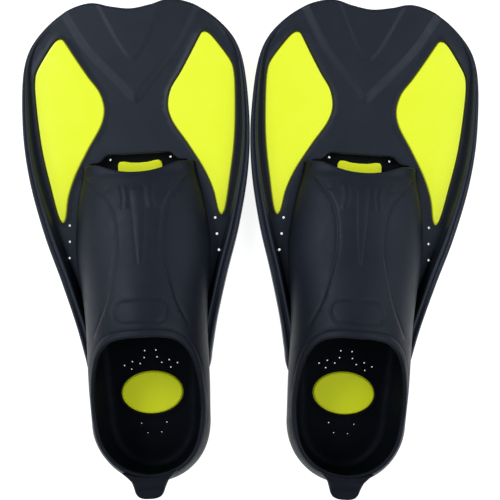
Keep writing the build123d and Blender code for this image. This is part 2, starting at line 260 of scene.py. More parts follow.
def carried_to(run, axis, at):
    """A polyline with each end that stops just short of a seam carried on to it."""
    for end in (0, -1):
        if ON_SEAM < abs(run[end][axis] - at) < SEAM_REACH:
            on_seam = run[end].copy()
            on_seam[axis] = at
            run = np.vstack([on_seam, run] if end == 0 else [run, on_seam])
    return run


def crease(line, amounts, boundary, margin=0.35, seams=((0, 0.0),)):
    """Stretches of a line moved sideways by each amount, inside the boundary and up to the mirror seams.

    A seam is an axis, 0 or 1, and its place on that axis.
    """
    out = []
    walls = np.array([(a, b) for a, b in zip(boundary, np.roll(boundary, -1, axis=0))
                      if not any(max(abs(a[axis] - at), abs(b[axis] - at)) < ON_SEAM for axis, at in seams)])
    for amount in amounts:
        moved, good = moved_line(line, np.broadcast_to(amount, len(line)))
        clear = distance_to_edges(moved, walls[:, 0], walls[:, 1]) > margin
        for run in runs(moved, good & inside(moved, boundary) & clear):
            for axis, at in seams:
                run = carried_to(run, axis, at)
            out.append(run)
    return out


def both_ways(amounts):
    """Amounts to one side of a line and then the other, for a line whose inner side isn't known."""
    return [*amounts, *[-amount for amount in amounts]]


# ------------------------------------------------------------------------------------------------------------
# Meshes
# ------------------------------------------------------------------------------------------------------------
def finer(loop, longest):
    """A closed loop with its long edges divided."""
    out = []
    for a, b in zip(loop, np.roll(loop, -1, axis=0)):
        count = max(1, math.ceil(np.linalg.norm(b - a) / longest))
        out += [a + (b - a) * k / count for k in range(count)]
    return np.array(out)


def fill_plan(loops, lines, spacing):
    """Points and triangles that fill the first loop, leave the other loops open and follow every line.

    Between the lines the points stand in staggered rows, at a spacing, and keep clear of the lines.
    """
    points, edges = [], []
    for loop in loops:
        start = len(points)
        loop = finer(loop, spacing * 0.9)
        points += [tuple(p) for p in loop]
        edges += [(start + i, start + (i + 1) % len(loop)) for i in range(len(loop))]
    for line in lines:
        start = len(points)
        points += [tuple(p) for p in line]
        edges += [(start + i, start + i + 1) for i in range(len(line) - 1)]
    tree = kdtree.KDTree(len(points))
    for index, (x, y) in enumerate(points):
        tree.insert((x, y, 0), index)
    tree.balance()
    low, high = loops[0].min(0), loops[0].max(0)
    rows = np.arange(low[1], high[1], spacing * 0.866)
    grid = np.array([(x + (i % 2) * spacing / 2, y) for i, y in enumerate(rows)
                     for x in np.arange(low[0], high[0], spacing)])
    keep = inside(grid, loops[0])
    for loop in loops[1:]:
        keep &= ~inside(grid, loop)
    grid = [p for p in grid[keep] if tree.find((p[0], p[1], 0))[2] > spacing * KEEP_CLEAR]
    points += [tuple(p) for p in grid]
    verts, _, faces, _, _, _ = delaunay_2d_cdt([Vector(p) for p in points], edges, [], 0, 1e-4, False)
    verts = np.array([tuple(v) for v in verts])
    faces = np.array(faces)
    centre = verts[faces].mean(1)
    keep = inside(centre, loops[0])
    for loop in loops[1:]:
        keep &= ~inside(centre, loop)
    faces = faces[keep]
    used = np.unique(faces)
    renumber = np.zeros(len(verts), int)
    renumber[used] = np.arange(len(used))
    return verts[used], renumber[faces]


def solid(upper, lower, faces):
    """Vertices and faces of a closed form between two skins that share their triangles."""
    total = len(upper)
    edge = np.vstack([faces[:, [0, 1]], faces[:, [1, 2]], faces[:, [2, 0]]])
    _, first, uses = np.unique(np.sort(edge, axis=1), axis=0, return_index=True, return_counts=True)
    walls = [(b, a, a + total, b + total) for a, b in edge[first[uses == 1]]]
    skins = [tuple(face) for face in faces] + [tuple(face[::-1] + total) for face in faces]
    return np.vstack([upper, lower]), skins + walls


def mirrored_solid(upper, lower, faces):
    """The same for skins that are drawn for X >= 0, with their mirror images."""
    seam = abs(upper[:, 0]) < ON_SEAM
    count = len(upper)
    twin = np.where(seam, np.arange(count), np.cumsum(~seam) - 1 + count)
    flip = np.array([-1.0, 1.0, 1.0])
    return solid(np.vstack([upper, upper[~seam] * flip]), np.vstack([lower, lower[~seam] * flip]),
                 np.vstack([faces, twin[faces][:, ::-1]]))


def fin_frame(side):
    """Where a fin's own frame lies, from its blade joint: the joint's axis runs across the fin."""
    joint = next(j for j in frame["joints"] if j["name"] == f"{side}_blade_flex")
    across = Vector(joint["axis"]).normalized()
    along = Vector((0, 0, 1)).cross(across)
    origin = Vector(joint["pos_m"]) - along * FLEX_Y * MM - Vector((0, 0, FLEX_Z * MM))
    turn = Matrix((across, along, Vector((0, 0, 1)))).transposed()
    return Matrix.Translation(origin) @ turn.to_4x4()


FIN = {side: fin_frame(side) for side in SIDES}


def make_piece(name, side, verts, faces, material, mirrored=False, sharp=40, lining=None, lined=0):
    """A mesh object in the row frame, from vertices in the fin's frame.

    The lining material, a darker copy of the rubber that paints the shade inside, covers the inner skin,
    which is the second run of as many faces as lined says.
    """
    verts = np.array(verts, float)
    if mirrored:
        verts = verts * np.array([-1.0, 1.0, 1.0])
    mesh = bpy.data.meshes.new(f"{side}_{name}")
    mesh.from_pydata((verts * MM).tolist(), [], [tuple(int(i) for i in f) for f in faces])
    mesh.materials.append(material)
    if lining:
        mesh.materials.append(lining)
        mesh.polygons.foreach_set("material_index", [int(lined <= i < 2 * lined) for i in range(len(faces))])
    bm = bmesh.new()
    bm.from_mesh(mesh)
    bmesh.ops.remove_doubles(bm, verts=bm.verts, dist=2e-6)
    bmesh.ops.dissolve_degenerate(bm, edges=bm.edges, dist=1e-7)
    bmesh.ops.recalc_face_normals(bm, faces=bm.faces)
    bm.to_mesh(mesh)
    bm.free()
    mesh.transform(FIN[side])
    mesh.polygons.foreach_set("use_smooth", [True] * len(mesh.polygons))
    mesh.set_sharp_from_angle(angle=math.radians(sharp))
    piece = bpy.data.objects.new(f"{side}_{name}", mesh)
    bpy.context.scene.collection.objects.link(piece)
    return piece


# ------------------------------------------------------------------------------------------------------------
# Materials
# ------------------------------------------------------------------------------------------------------------
SHEEN_TINT = (0.70, 0.82, 1.0)


def new_material(name):
    material = bpy.data.materials.new(name)
    material.use_nodes = True
    nodes = material.node_tree.nodes
    return material, nodes, material.node_tree.links, nodes["Principled BSDF"]


def noise_node(nodes, links, source, scale, detail=3.0, rough=0.55):
    node = nodes.new("ShaderNodeTexNoise")
    node.inputs["Scale"].default_value = scale
    node.inputs["Detail"].default_value = detail
    node.inputs["Roughness"].default_value = rough
    links.new(source, node.inputs["Vector"])
    return node


def remap(nodes, links, source, low, high):
    node = nodes.new("ShaderNodeMapRange")
    node.inputs["From Min"].default_value = 0.3
    node.inputs["From Max"].default_value = 0.7
    node.inputs["To Min"].default_value = low
    node.inputs["To Max"].default_value = high
    links.new(source, node.inputs["Value"])
    return node.outputs["Result"]


# Painted shade: the pocket's colour is darkened and its sheen dulled towards the heel and the floor, where
# less light reaches it. Metres, in the row frame.
HEEL_SHADE_Y = (-0.125, -0.010)
HEEL_SHADE = 0.60
FOOT_SHADE_Z = (0.016, 0.034)
FOOT_SHADE = 0.2


def fade_node(nodes, links, source, low, high, least):
    """A smooth rise from least to 1 while the source goes from low to high."""
    node = nodes.new("ShaderNodeMapRange")
    node.interpolation_type = "SMOOTHSTEP"
    node.inputs["From Min"].default_value = low
    node.inputs["From Max"].default_value = high
    node.inputs["To Min"].default_value = least
    node.inputs["To Max"].default_value = 1.0
    links.new(source, node.inputs["Value"])
    return node.outputs["Result"]


def shade_heel(nodes, links, shader, at, colour, specular):
    """Painted shade: darken the colour and dull the sheen from the instep back to the heel, and close to the
    blade's web.
    """
    parts = nodes.new("ShaderNodeSeparateXYZ")
    links.new(at, parts.inputs[0])
    share = nodes.new("ShaderNodeMath")
    share.operation = "MULTIPLY"
    links.new(fade_node(nodes, links, parts.outputs["Y"], *HEEL_SHADE_Y, HEEL_SHADE), share.inputs[0])
    links.new(fade_node(nodes, links, parts.outputs["Z"], *FOOT_SHADE_Z, FOOT_SHADE), share.inputs[1])
    darker = nodes.new("ShaderNodeVectorMath")
    darker.operation = "SCALE"
    links.new(colour, darker.inputs[0])
    links.new(share.outputs[0], darker.inputs["Scale"])
    links.new(darker.outputs[0], shader.inputs["Base Color"])
    duller = nodes.new("ShaderNodeMapRange")
    duller.inputs["To Max"].default_value = specular
    links.new(share.outputs[0], duller.inputs["Value"])
    links.new(duller.outputs["Result"], shader.inputs["Specular IOR Level"])


def moulded(name, dark, light, rough, grain, grain_depth, specular, coat=0.0, shaded=False,
            glow=(1, 1, 1), glow_strength=0.0):
    """A moulded rubber or plastic: slow cloudy variation of tone and gloss, and a fine skin texture."""
    material, nodes, links, shader = new_material(name)
    at = nodes.new("ShaderNodeTexCoord").outputs["Object"]
    cloud = noise_node(nodes, links, at, scale=22.0, detail=4.0)
    tone = nodes.new("ShaderNodeMix")
    tone.data_type = "RGBA"
    tone.inputs[6].default_value = (*dark, 1)
    tone.inputs[7].default_value = (*light, 1)
    links.new(remap(nodes, links, cloud.outputs["Fac"], 0.0, 1.0), tone.inputs[0])
    shader.inputs["Specular IOR Level"].default_value = specular
    # Painted shade towards the heel and the floor, where shaded is asked for
    if shaded:
        shade_heel(nodes, links, shader, at, tone.outputs[2], specular)
    else:
        links.new(tone.outputs[2], shader.inputs["Base Color"])
    smear = noise_node(nodes, links, at, scale=90.0, detail=5.0, rough=0.6)
    gloss = remap(nodes, links, smear.outputs["Fac"], rough - 0.05, rough + 0.06)
    links.new(gloss, shader.inputs["Roughness"])
    skin = noise_node(nodes, links, at, scale=grain, detail=2.0, rough=0.5)
    bump = nodes.new("ShaderNodeBump")
    bump.inputs["Strength"].default_value = 0.35
    bump.inputs["Distance"].default_value = grain_depth
    links.new(skin.outputs["Fac"], bump.inputs["Height"])
    links.new(bump.outputs["Normal"], shader.inputs["Normal"])
    shader.inputs["Specular Tint"].default_value = (*SHEEN_TINT, 1)
    shader.inputs["Coat Weight"].default_value = coat
    shader.inputs["Coat Roughness"].default_value = 0.2
    # Emission, where asked for, is painted light: a glow that brightens the colour
    shader.inputs["Emission Color"].default_value = (*glow, 1)
    shader.inputs["Emission Strength"].default_value = glow_strength
    return material


BLADE_RUBBER = moulded("blade_rubber", (0.0092, 0.0115, 0.0195), (0.0128, 0.0152, 0.0240), rough=0.45,
                       grain=2600.0, grain_depth=0.00006, specular=0.42)
POCKET_RUBBER = moulded("pocket_rubber", (0.0098, 0.0122, 0.0200), (0.0138, 0.0162, 0.0250), rough=0.47,
                        grain=2200.0, grain_depth=0.00008, specular=0.28, shaded=True)
# The pocket's inner skin and the footbed are coloured far darker than its outer skin: painted shade for the
# inside of the pocket.
INNER_RUBBER = moulded("inner_rubber", (0.0018, 0.0026, 0.0050), (0.0030, 0.0040, 0.0070), rough=0.60,
                       grain=1500.0, grain_depth=0.00010, specular=0.15)
FOOTBED_RUBBER = moulded("footbed_rubber", (0.0012, 0.0018, 0.0040), (0.0022, 0.0030, 0.0055), rough=0.6,
                         grain=1500.0, grain_depth=0.00012, specular=0.12)
SOLE_RUBBER = moulded("sole_rubber", (0.0016, 0.0022, 0.0040), (0.0026, 0.0034, 0.0055), rough=0.60,
                      grain=1500.0, grain_depth=0.00012, specular=0.16)
# Painted light: the lime plastic is given a faint glow of its own, which makes it brighter than the lamps
# alone would
LIME_PANEL = moulded("lime_panel", (0.82, 0.985, 0.022), (0.86, 0.999, 0.034), rough=0.24,
                     grain=900.0, grain_depth=0.00002, specular=0.45, coat=0.25,
                     glow=(0.98, 1.0, 0.060), glow_strength=0.17)
# The lime core glows a little too: painted light that brightens the oval and the tongue, which lie in shade
# inside the pocket and the toe slot.
LIME_CORE = moulded("lime_core", (0.84, 0.94, 0.008), (0.88, 0.97, 0.013), rough=0.42,
                    grain=1400.0, grain_depth=0.00005, specular=0.35,
                    glow=(0.80, 0.92, 0.010), glow_strength=0.12)


# ------------------------------------------------------------------------------------------------------------
# Foot pocket sizes
# ------------------------------------------------------------------------------------------------------------
SOLE_TOP = 5.0
CAP_Y = 60.0
WALL = 1.6
WALL_OVER_WEB_Y = 206.0


def pocket_sizes(y):
    """Half-width at the sole, greatest half-width, its height and the top's height, along the fin."""
    return [graph([(row[0], row[column]) for row in POCKET], y) for column in (1, 2, 3, 4)]


def wall_height(x, y):
    """Height at which the middle of the pocket's side wall stands over a plan point."""
    sole, wide, wide_z, _ = pocket_sizes(y)
    share = (x + WALL - sole) / (wide - sole)
    height = SOLE_TOP + np.arcsin(np.clip(share, 0, 1)) * 2 / math.pi * (wide_z - SOLE_TOP)
    return np.where((share < 1) & (y < WALL_OVER_WEB_Y), np.maximum(height, WEB_TOP), np.inf)


def pocket_half_width(y, z):
    """Half-width of the pocket's outer wall at a height."""
    sole, wide, wide_z, top = pocket_sizes(y)
    below = np.clip((z - SOLE_TOP) / (wide_z - SOLE_TOP), 0, 1)
    above = np.clip((z - wide_z) / (top - wide_z), 0, 1)
    return (sole + (wide - sole) * np.sin(below * math.pi / 2)) * np.sqrt(1 - above ** 2)


# ------------------------------------------------------------------------------------------------------------
# Blade frame: web, side rails and raised V, one skin from beside the heel to the tip
# ------------------------------------------------------------------------------------------------------------
RAIL_END = [(54.0, 112), (52.0, 101), (48.9, 94.6), (44.5, 92.5)]
SLOT_EDGE = [(42.4, 276.2), (41.8, 278.3), (36, 278.8), (33.4, 279.9), (28.8, 284.7), (26.4, 285.7),
             (0, 285.7)]
SLOT_ROUND = 1.3
SLOT_ROUND_DEPTH = 1.1
# The web's edge beside the pocket: from and to which Y, and how far it runs in under the pocket's wall
WALL_EDGE_Y = (94.0, 275.0)
WALL_EDGE_TUCK = 1.4
RAIL_WIDTH = [(100, 13), (150, 12), (240, 10.5), (290, 8.4), (340, 6.2), (375, 4.2), (400, 3)]
RAIL_RISE = [(92, 9), (112, 13.5), (160, 13.5), (230, 12), (292, 9.5), (350, 5.6), (385, 1.6), (402, 0)]
RAIL_DROP = [(92, 6), (112, 12), (250, 12), (292, 10), (350, 6), (390, 2.6), (404, 0)]
# Across a rail, from its outer edge inwards: share of the width, share of the rise
RAIL_SHAPE = [(0, 0.56), (0.03, 0.70), (0.08, 0.80), (0.14, 0.84), (0.24, 0.83), (0.31, 0.77), (0.36, 0.76),
              (0.42, 0.83), (0.50, 0.96), (0.58, 1.0), (0.68, 0.97), (0.78, 0.80), (0.88, 0.34), (0.95, 0.08),
              (1.0, 0.0)]
RAIL_FOOT_SHAPE = [(0, 0.86), (0.06, 0.97), (0.12, 1.0), (0.68, 1.0), (0.76, 0.95), (0.86, 0.35),
                   (0.92, 0.06), (1.0, 0)]
# Rows of points along the rails, the windows' edges, the V and the slot, where the skin bends
RAIL_ROWS = [share for share, _ in RAIL_SHAPE[1:]] + [0.19, 0.46, 0.63, 0.73, 0.83]
RING_ROWS = (0.25, 0.5, 0.9, 1.3, 2.0)
V_ROWS = [-0.9, -0.35, 0.0, 0.35, 3.6, 6.85, 7.2, 7.55, 8.1]
V_STEP_ROWS = [-0.8, -0.35, 0.0, 0.35, 1.7, 3.05, 3.4, 3.75, 4.2]
SLOT_ROWS = (0.3, 0.7, 1.3)
V_FACET = 7.2
V_STEP = 3.4
V_RISE = 2.1
V_CROWN = 0.7
LIP_WIDTH = 2.0
LIP_RISE = 0.45
GROOVE_WIDTH = 1.0
GROOVE_DEPTH = 2.0
UNDER_GROOVE_WIDTH = 0.6
UNDER_GROOVE_DEPTH = 0.5
# The tip's thin edge: where along the blade it sets in, how far it is rounded, and by how much on each face
TIP_Y = (380, 402)
TIP_ROUND = 2.6
TIP_TOP_DROP = 1.0
TIP_FOOT_RISE = 0.7
PAST_TIP_Y = 440.0

edge_line = half_of(BLADE_EDGE)
whole_edge = np.vstack([edge_line, smooth(RAIL_END, 1.5)[1:]])
window_loop = smooth(WINDOW, 1.5, closed=True)
window_ring = np.vstack([window_loop, window_loop[:3]])
slot_line = np.array(SLOT_EDGE, float)
wall_y = np.arange(*WALL_EDGE_Y, 3.0)
wall_line = np.column_stack([pocket_half_width(wall_y, WEB_TOP) - WALL_EDGE_TUCK, wall_y])
v_outer = half_of(V_OUTER)
v_inner = half_of(V_INNER)
v_area = np.vstack([v_outer, (V_OUTER[-1][0], PAST_TIP_Y), (-1, PAST_TIP_Y), (-1, V_OUTER[0][1])])
v_centre = np.vstack([v_inner, (V_INNER[-1][0], PAST_TIP_Y), (-1, PAST_TIP_Y), (-1, V_INNER[0][1])])


def blade_heights(at):
    """Top and underside of the blade frame at plan points."""
    x, y = abs(at[:, 0]), at[:, 1]
    points = np.column_stack([x, y])
    out = distance(points, whole_edge)
    share = np.clip(out / graph(RAIL_WIDTH, y), 0, 1)
    top = WEB_TOP + graph(RAIL_RISE, y) * graph(RAIL_SHAPE, share)
    foot = WEB_FOOT - graph(RAIL_DROP, y) * graph(RAIL_FOOT_SHAPE, share)
    tip = ramp(y, *TIP_Y)
    top -= tip * TIP_TOP_DROP * fading(out, TIP_ROUND, 1.6)
    foot += tip * TIP_FOOT_RISE * fading(out, TIP_ROUND, 2)
    lip = distance(points, np.vstack([window_loop, window_loop[:1]]))
    top += LIP_RISE * np.sin(np.clip(lip / LIP_WIDTH, 0, 1) * math.pi) ** 0.8
    top -= GROOVE_DEPTH * fading(lip, GROOVE_WIDTH, 1.3)
    foot += UNDER_GROOVE_DEPTH * fading(lip, UNDER_GROOVE_WIDTH, 2)
    top -= SLOT_ROUND_DEPTH * (1 - quarter_round(distance(points, slot_line), SLOT_ROUND))
    top = np.minimum(top, wall_height(x, y))
    inward = np.where(inside(points, v_area), distance(points, v_outer), 0)
    top += V_RISE * ramp_line(inward, V_FACET)
    crown = np.where(inside(points, v_centre), distance(points, v_inner), 0)
    top += V_CROWN * ramp_line(crown, V_STEP)
    return top, foot


def blade_frame_mesh():
    boundary = np.vstack([whole_edge, wall_line, slot_line])
    lines = []
    for share in RAIL_ROWS:
        lines += crease(whole_edge, [-share * graph(RAIL_WIDTH, whole_edge[:, 1])], boundary, margin=0.12)
    lines += crease(window_ring, both_ways(RING_ROWS), boundary)
    lines = [line for line in lines if not inside(line, window_loop).all()]
    lines += crease(v_outer, V_ROWS, boundary, margin=0.1)
    lines += crease(v_inner, V_STEP_ROWS, boundary, margin=0.1)
    lines += crease(resample(slot_line, 1.5), both_ways(SLOT_ROWS), boundary, margin=0.2)
    drains = [circle(x, y, DRAIN_RADIUS, 16) for x, y in WEB_DRAINS]
    plan, faces = fill_plan([boundary, window_loop] + drains, lines, spacing=3.2)
    top, foot = blade_heights(plan)
    return mirrored_solid(np.column_stack([plan, top]), np.column_stack([plan, foot]), faces)


frame_shape = blade_frame_mesh()
for side in SIDES:
    blade = make_piece("blade_frame", side, *frame_shape, BLADE_RUBBER, sharp=50)
    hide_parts(*[f"{side}_{node}" for node in (
        "blade_web", "web_root", "v_panel", "outer_rail", "inner_rail", "outer_rail_root",
        "inner_rail_root")])
    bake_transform(blade)


# ------------------------------------------------------------------------------------------------------------
# Windows: lime panels, crowned a little and bevelled at the edge
# ------------------------------------------------------------------------------------------------------------
WINDOW_TUCK = 0.5
WINDOW_TOP = 15.5
WINDOW_FOOT = 12.5
WINDOW_CROWN = 0.35
CROWN_REACH = 18.0
WINDOW_BEVEL = 0.85
BEVEL_DEPTH = 2.2
UNDER_BEVEL_DEPTH = 0.3
# Rows of points on both sides of the window's line, at these distances less the shift
WINDOW_ROWS = (0.4, 0.75, 1.1, 1.5, 2.4)
ROW_SHIFT = 0.3


def window_mesh():
    loop = outward(window_loop, WINDOW_TUCK)
    lines = []
    for amount in WINDOW_ROWS:
        lines += crease(window_ring, [amount - ROW_SHIFT, ROW_SHIFT - amount], loop, margin=0.2)
    plan, faces = fill_plan([loop], lines, spacing=3.0)
    edge = distance(plan, np.vstack([loop, loop[:1]]))
    top = WINDOW_TOP + WINDOW_CROWN * ramp(edge, 0, CROWN_REACH)
    top -= BEVEL_DEPTH * fading(edge - WINDOW_TUCK, WINDOW_BEVEL, 1.1)
    foot = WINDOW_FOOT + UNDER_BEVEL_DEPTH * fading(edge - WINDOW_TUCK, WINDOW_BEVEL, 2)
    return solid(np.column_stack([plan, top]), np.column_stack([plan, foot]), faces)


window_shape = window_mesh()
for side, outer_mirrored in (("left", True), ("right", False)):
    for place_name, mirrored in (("outer", outer_mirrored), ("inner", not outer_mirrored)):
        window = make_piece(f"{place_name}_window_panel", side, *window_shape, LIME_PANEL, mirrored, sharp=50)
        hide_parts(f"{side}_{place_name}_window", f"{side}_{place_name}_window_root")
        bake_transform(window)


# ------------------------------------------------------------------------------------------------------------
# Foot pocket: one rubber skin, drawn on a flat map (across, along) and bent round the foot
# ------------------------------------------------------------------------------------------------------------
# On the map, Q runs across from the fin's axis over the top and down the side, and S runs along the fin.
# Ahead of CAP_Y S is Y. Behind it S turns round the heel, and ends at BACK on the axis.
ARCH_SCALE = 48.0
CAP_SCALE = 52.0
CAP_DEPTH = 51.5
CAP_TOP = 82.0
CAP_BASE = 0.9
WIDEST = ARCH_SCALE * math.pi / 2
BACK = CAP_Y - CAP_SCALE * math.pi / 2
# The wall's foot spreads a little where it meets the web: how far, from and to which Y, up to and below
# which height over the web
FLARE = 0.6
FLARE_Y = (248, 275)
FLARE_HEIGHT = 5.5
FLARE_BELOW = 4
OPENING = [(0, 18.4), (24.2, 25.2), (38.2, 41), (44.4, 66), (44.6, 87), (42, 105), (36.8, 119.4),
           (27.4, 129.0), (14, 132.7), (0, 133.1)]
LIP = [(0, 268.6), (10, 269.2), (20, 271.2), (28, 274.0), (35, 276.2), (43.5, 277)]
FRONT_Y = 277.0
# The cuff stands proud up to its edge, beyond which lies a groove (its depth and width) and then the relief
CUFF_WIDTH = 6.2
CUFF_PROUD = 0.6
CUFF_EDGE = (-0.8, 0.2)
CUFF_GROOVE = (0.25, 0.5)
CUFF_GROOVE_SHIFT = 0.3
RELIEF_GROWTH = 2
EDGE_ROUND = 1.8
# How far each pocket leans towards the other fin, and how much more its heel does. The lean grows with
# height and ahead of the heel tab, and each part of it fades out towards the toes.
POCKET_LEAN = {"left": 1.5, "right": 0.1}
HEEL_LEAN = {"left": 1.1, "right": 0.3}
LEAN_Z = (14, 42)
LEAN_Y = (4, 17)
POCKET_LEAN_ENDS_Y = (225, 258)
HEEL_LEAN_ENDS_Y = (24, 54)
# The instep's relief. A rise and a groove are given as height or depth, and the width over which they grow.
RELIEF_FROM_Y = 120
INSTEP_LINE = [(45, 266), (37, 257), (28.4, 247.5), (23, 238), (19.8, 225), (18.8, 211), (19.5, 197),
               (24, 177), (29.2, 158), (35.4, 144), (41.4, 132)]
INSTEP_RISE = (0.85, 0.9)
INSTEP_GROOVE = (0.45, 0.7)
INSTEP_BACK_Y = (130, 142)
INSTEP_FRONT_Y = (263, 268)
SPEAR = [(5.2, 254), (3.9, 224), (1.2, 191)]
SPEAR_RISE = (0.45, 0.8)
SPEAR_GROOVE = (0.25, 0.6)
RIDGES = [[(10, 255), (9.2, 246), (10.4, 238)], [(15.5, 255), (14.2, 246), (15.4, 237)]]
RIDGE_RISE = (0.5, 0.9)
TOE_ARC = [(22, 259), (23.4, 254.4), (26.5, 252.4), (29.6, 254.2), (31, 258)]
TOE_GROOVE = (0.25, 0.7)
BADGE_SIZE = (44.0, 19.0)
BADGE_Y = 153.4
BADGE_RISE = (0.55, 0.8)
BADGE_GROOVE = (0.45, 0.6)
# Rows of points inside the opening's edge and the lip's, and on both sides of the relief's lines
CUFF_ROWS = [-0.3, -0.8, -1.4, -2.2, -3.6, -5.0, -5.7, -6.2, -6.7]
LIP_ROWS = [-0.3, -0.8, -1.4, -2.4]
RELIEF_ROWS = [-1.0, -0.5, 0.0, 0.5, 1.0]
BADGE_ROWS = [-0.9, -0.4, 0.0, 0.4, 0.9]


def on_map(points):
    """Map places of plan points on the upper half of the pocket."""
    x, y = points[:, 0], points[:, 1]
    wide = pocket_sizes(np.maximum(y, CAP_Y))[1]
    forward = np.arcsin(np.clip(x / wide, -1, 1))
    back = np.maximum(CAP_Y - y, 0)
    turn = np.arctan2(back / CAP_DEPTH, np.maximum(x, 0) / wide)
    reach = np.arcsin(np.clip(np.hypot(x / wide, back / CAP_DEPTH), 0, 1))
    behind = y < CAP_Y
    return np.column_stack([ARCH_SCALE * np.where(behind, reach, forward),
                            np.where(behind, CAP_Y - CAP_SCALE * turn, y)])


def foot_edge(s):
    """How far across the map the sole edge lies."""
    return WIDEST + pocket_sizes(np.maximum(s, CAP_Y))[2] - SOLE_TOP


def pocket_surface(q, s):
    """Points of the pocket's outer surface at map places."""
    y = np.maximum(s, CAP_Y)
    turn = np.maximum(CAP_Y - s, 0) / CAP_SCALE
    sole, wide, wide_z, top = pocket_sizes(y)
    top = top - (top - CAP_TOP) * ramp(turn, 0, math.pi / 2)
    lean = np.minimum(q / ARCH_SCALE, math.pi / 2)
    low = np.clip(q - WIDEST, 0, None)
    share = np.sin(np.clip(1 - low / (wide_z - SOLE_TOP), -0.2, 1) * math.pi / 2)
    below = q > WIDEST
    x = np.where(below, sole + (wide - sole) * share, wide * np.sin(lean))
    depth = CAP_DEPTH * np.where(below, CAP_BASE + (1 - CAP_BASE) * share, np.sin(lean))
    z = np.where(below, wide_z - low, wide_z + (top - wide_z) * np.cos(lean))
    flare = ramp(y, *FLARE_Y) * fading(z - WEB_TOP, FLARE_HEIGHT, 2) * (z > WEB_TOP - FLARE_BELOW)
    x = x + FLARE * flare
    return np.column_stack([x * np.cos(turn), y - depth * np.sin(turn), z])


def pocket_middle(q, s, step=0.25):
    """The middle of the pocket's wall at map places, and the outward normals there."""
    across = pocket_surface(q + step, s) - pocket_surface(q - step, s)
    along = pocket_surface(q, s + step) - pocket_surface(q, s - step)
    normal = np.cross(across, along)
    normal /= np.maximum(np.linalg.norm(normal, axis=1), 1e-12)[:, None]
    return pocket_surface(q, s) - normal * WALL, normal


def badge_outline():
    """Half outline of the rounded badge across the fin's axis."""
    width, height = BADGE_SIZE
    radius = height / 2
    reach = width / 2 - radius
    bend = [(reach + radius * math.cos(a), BADGE_Y + radius * math.sin(a))
            for a in np.linspace(math.pi / 2, -math.pi / 2, 19)]
    return resample([(0, BADGE_Y + radius)] + bend + [(0, BADGE_Y - radius)], 1.2)


def instep_relief(at):
    """Height of the moulded relief at plan points of the instep."""
    points = np.column_stack([np.abs(at[:, 0]), at[:, 1]])

    def rise(size, line, near):
        return size[0] * np.where(inside(points, closed_across(line)), ramp(near, 0, size[1]), 0)

    def groove(size, near):
        return size[0] * bell(near, size[1])

    line = smooth(INSTEP_LINE, 1.0)
    near = distance(points, line)
    fade = ramp(points[:, 1], *INSTEP_BACK_Y) * (1 - ramp(points[:, 1], *INSTEP_FRONT_Y))
    relief = (rise(INSTEP_RISE, line, near) - groove(INSTEP_GROOVE, near)) * fade
    spear = smooth(SPEAR, 1.0)
    near = distance(points, spear)
    relief += rise(SPEAR_RISE, spear, near) - groove(SPEAR_GROOVE, near)
    for ridge in RIDGES:
        relief += groove(RIDGE_RISE, distance(points, smooth(ridge, 1.0)))
    relief -= groove(TOE_GROOVE, distance(points, smooth(TOE_ARC, 1.0)))
    badge = badge_outline()
    near = distance(points, badge)
    return relief + rise(BADGE_RISE, badge, near) - groove(BADGE_GROOVE, near)


def pocket_mesh():
    rim_plan = half_of(OPENING, 1.6)
    rim_map = on_map(rim_plan)
    rim_map[0] = (rim_map[0, 0], BACK)
    rim_map[-1] = (0, rim_plan[-1, 1])
    lip_map = resample(np.vstack([on_map(half_of(LIP, 1.6)), (WIDEST, FRONT_Y)]), 1.8)
    foot_s = np.r_[np.arange(FRONT_Y, BACK, -3.0), BACK]
    foot_map = np.column_stack([foot_edge(foot_s), foot_s])
    boundary = np.vstack([lip_map, foot_map, rim_map])
    boundary = boundary[np.r_[True, np.linalg.norm(np.diff(boundary, axis=0), axis=1) > 1e-6]]
    seams = ((0, 0.0), (1, BACK))
    lines = crease(rim_map, CUFF_ROWS, boundary, margin=0.15, seams=seams)
    lines += crease(lip_map, LIP_ROWS, boundary, margin=0.15, seams=seams)
    for drawn in [INSTEP_LINE, SPEAR, TOE_ARC] + RIDGES:
        line = resample(on_map(smooth(drawn, 0.8)), 1.6)
        lines += crease(line, RELIEF_ROWS, boundary, margin=0.5, seams=seams)
    lines += crease(on_map(badge_outline()), BADGE_ROWS, boundary, margin=0.3, seams=seams)
    flat, faces = fill_plan([boundary], lines, spacing=2.3)
    middle, normal = pocket_middle(*flat.T)
    from_rim = distance(middle, pocket_middle(*rim_map.T)[0])
    from_lip = distance(middle, pocket_middle(*lip_map.T)[0])
    proud = CUFF_PROUD * (1 - ramp(from_rim - CUFF_WIDTH, *CUFF_EDGE))
    proud -= CUFF_GROOVE[0] * bell(from_rim - CUFF_WIDTH - CUFF_GROOVE_SHIFT, CUFF_GROOVE[1])
    instep = (flat[:, 0] < WIDEST * 0.98) & (flat[:, 1] > RELIEF_FROM_Y)
    relief = np.where(instep, instep_relief(pocket_surface(*flat.T)), 0)
    proud += relief * ramp(from_rim - CUFF_WIDTH, 0, RELIEF_GROWTH)
    rounding = quarter_round(np.minimum(from_rim, from_lip), EDGE_ROUND)
    upper = middle + normal * ((WALL + proud) * rounding)[:, None]
    lower = middle - normal * (WALL * rounding)[:, None]
    for skin in (upper, lower):
        skin[abs(flat[:, 0]) < ON_SEAM, 0] = 0
        skin[abs(flat[:, 1] - BACK) < ON_SEAM, 0] = 0
    return *mirrored_solid(upper, lower, faces), 2 * len(faces)


